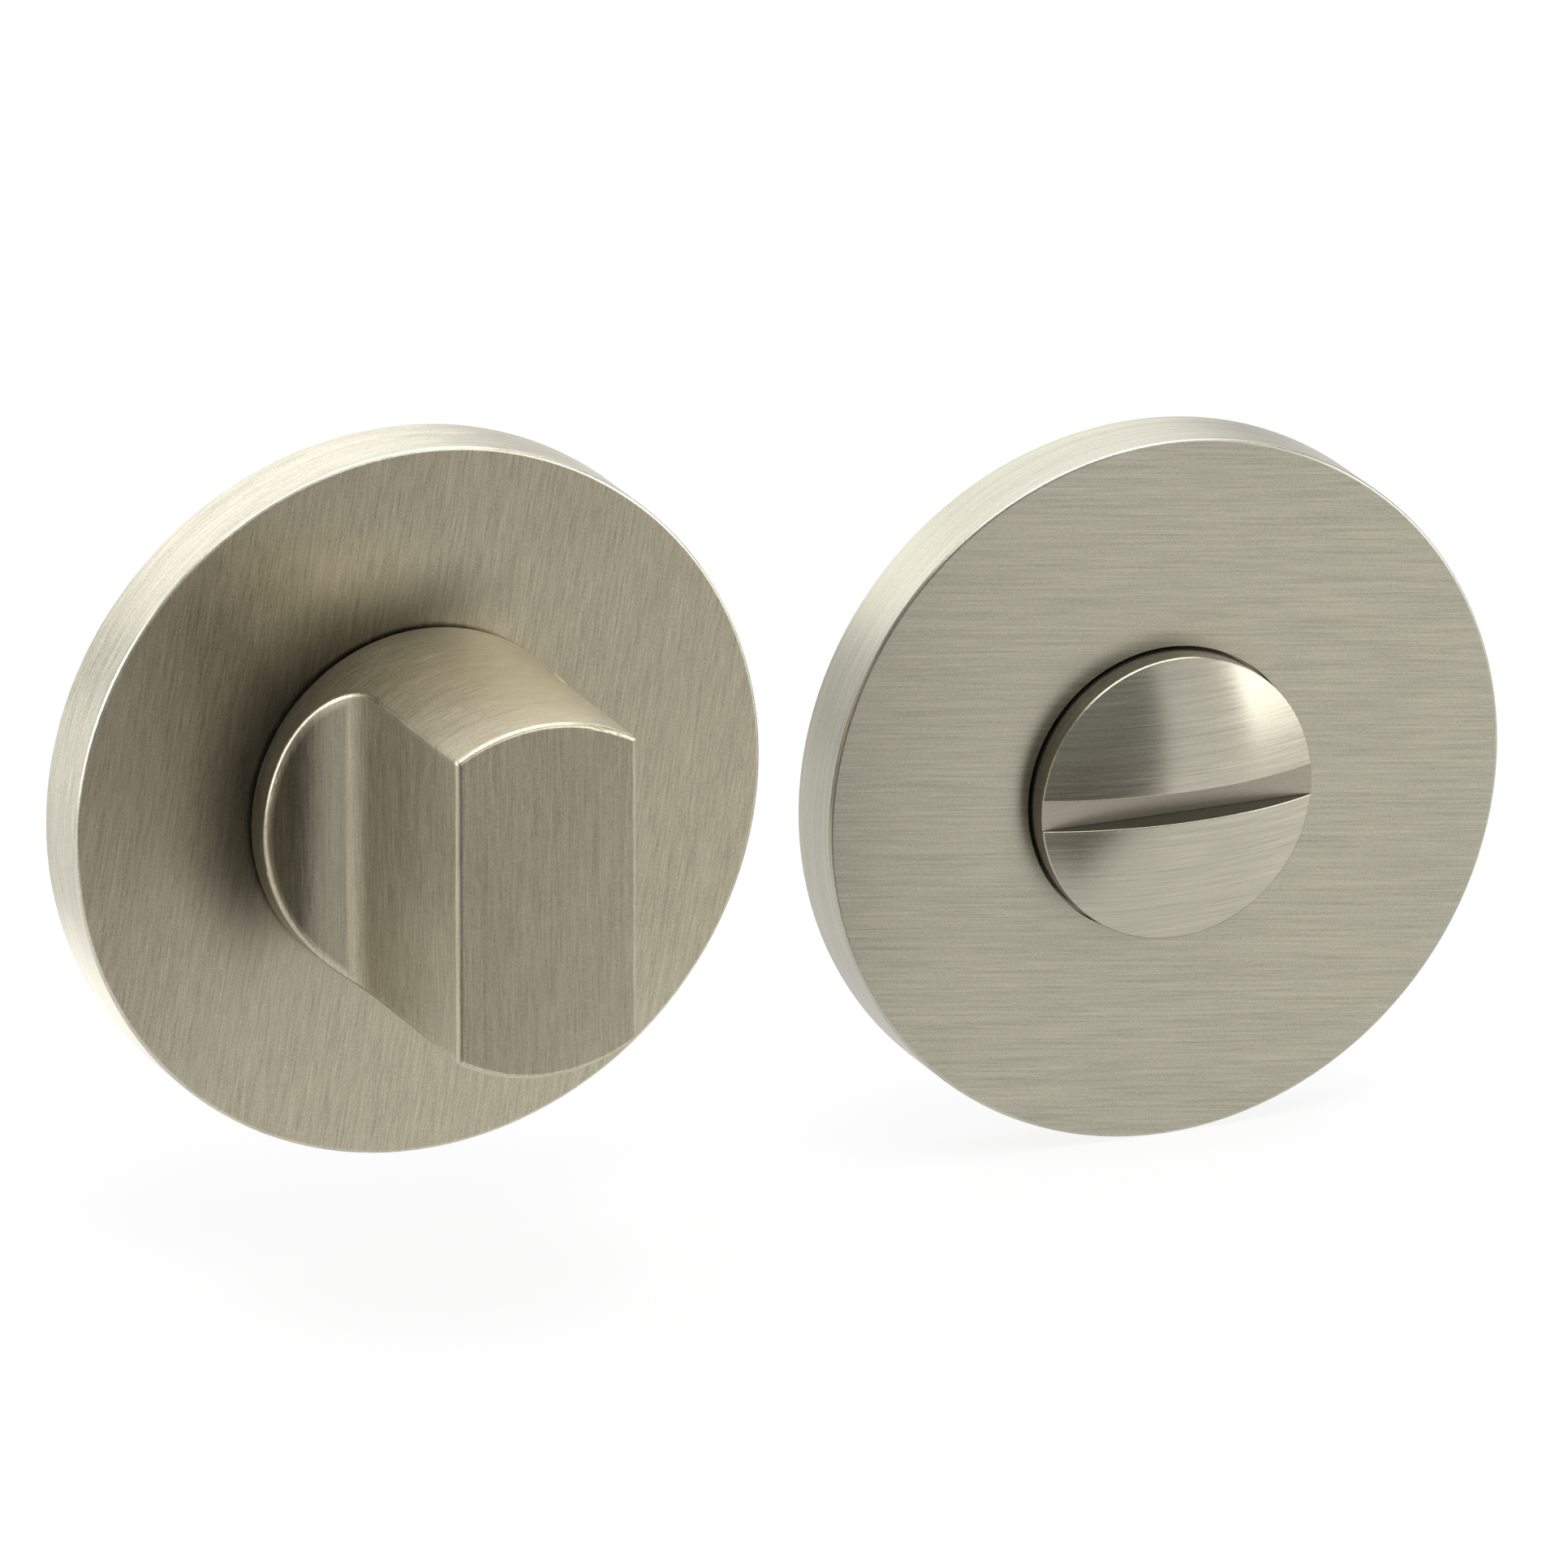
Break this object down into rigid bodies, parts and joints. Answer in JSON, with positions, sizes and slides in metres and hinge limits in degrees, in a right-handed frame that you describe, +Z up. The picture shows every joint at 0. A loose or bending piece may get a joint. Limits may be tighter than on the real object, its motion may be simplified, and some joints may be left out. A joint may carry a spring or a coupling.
{
  "type": "bathroom thumb turn lock",
  "caption": "Thumb turn with a flat-bladed round grip and a domed coin-slot emergency release, each on a round rose with a screw-on base plate.",
  "frame": {"origin": "where the thumb turn's axis meets the door's face, which is the plane of both roses' backs", "axes": "+Y into the door along both turning axes, so the fronts look along -Y; +X to the right, towards the release; +Z up"},
  "size_m": [0.1094, 0.0637, 0.059],
  "materials": {
    "satin_nickel": "satin nickel, brushed",
    "plate_nylon": "moulded, fine texture",
    "bearing_nylon": "moulded, smooth",
    "spring_steel": "dark phosphated spring steel",
    "zinc_steel": "bright zinc plated"
  },
  "bodies": {
    "roses": {"turn_cover_rose": "satin_nickel", "turn_base_plate": "plate_nylon", "turn_snap_ring": "spring_steel", "turn_bush": "bearing_nylon", "turn_thrust_washer": "bearing_nylon", "release_cover_rose": "satin_nickel", "release_base_plate": "plate_nylon", "release_snap_ring": "spring_steel", "release_bush": "bearing_nylon", "release_thrust_washer": "bearing_nylon", "threaded_post_left": "zinc_steel", "threaded_post_right": "zinc_steel"},
    "turn": {"thumb_turn": "satin_nickel", "spindle": "zinc_steel", "spindle_pin": "spring_steel", "turn_circlip": "spring_steel", "turn_spring_washer": "spring_steel"},
    "release": {"release_button": "satin_nickel", "release_circlip": "spring_steel", "release_spring_washer": "spring_steel"}
  },
  "joints": [
    {"name": "thumb_turn_rotation", "type": "hinge", "parent": "roses", "child": "turn", "pos_m": [0, 0, 0], "axis": [0, -1, 0], "range_deg": [-90, 90]},
    {"name": "coin_release_rotation", "type": "hinge", "parent": "roses", "child": "release", "pos_m": [0.0574, 0, -0.007], "axis": [0, -1, 0], "range_deg": [-90, 90]}
  ]
}
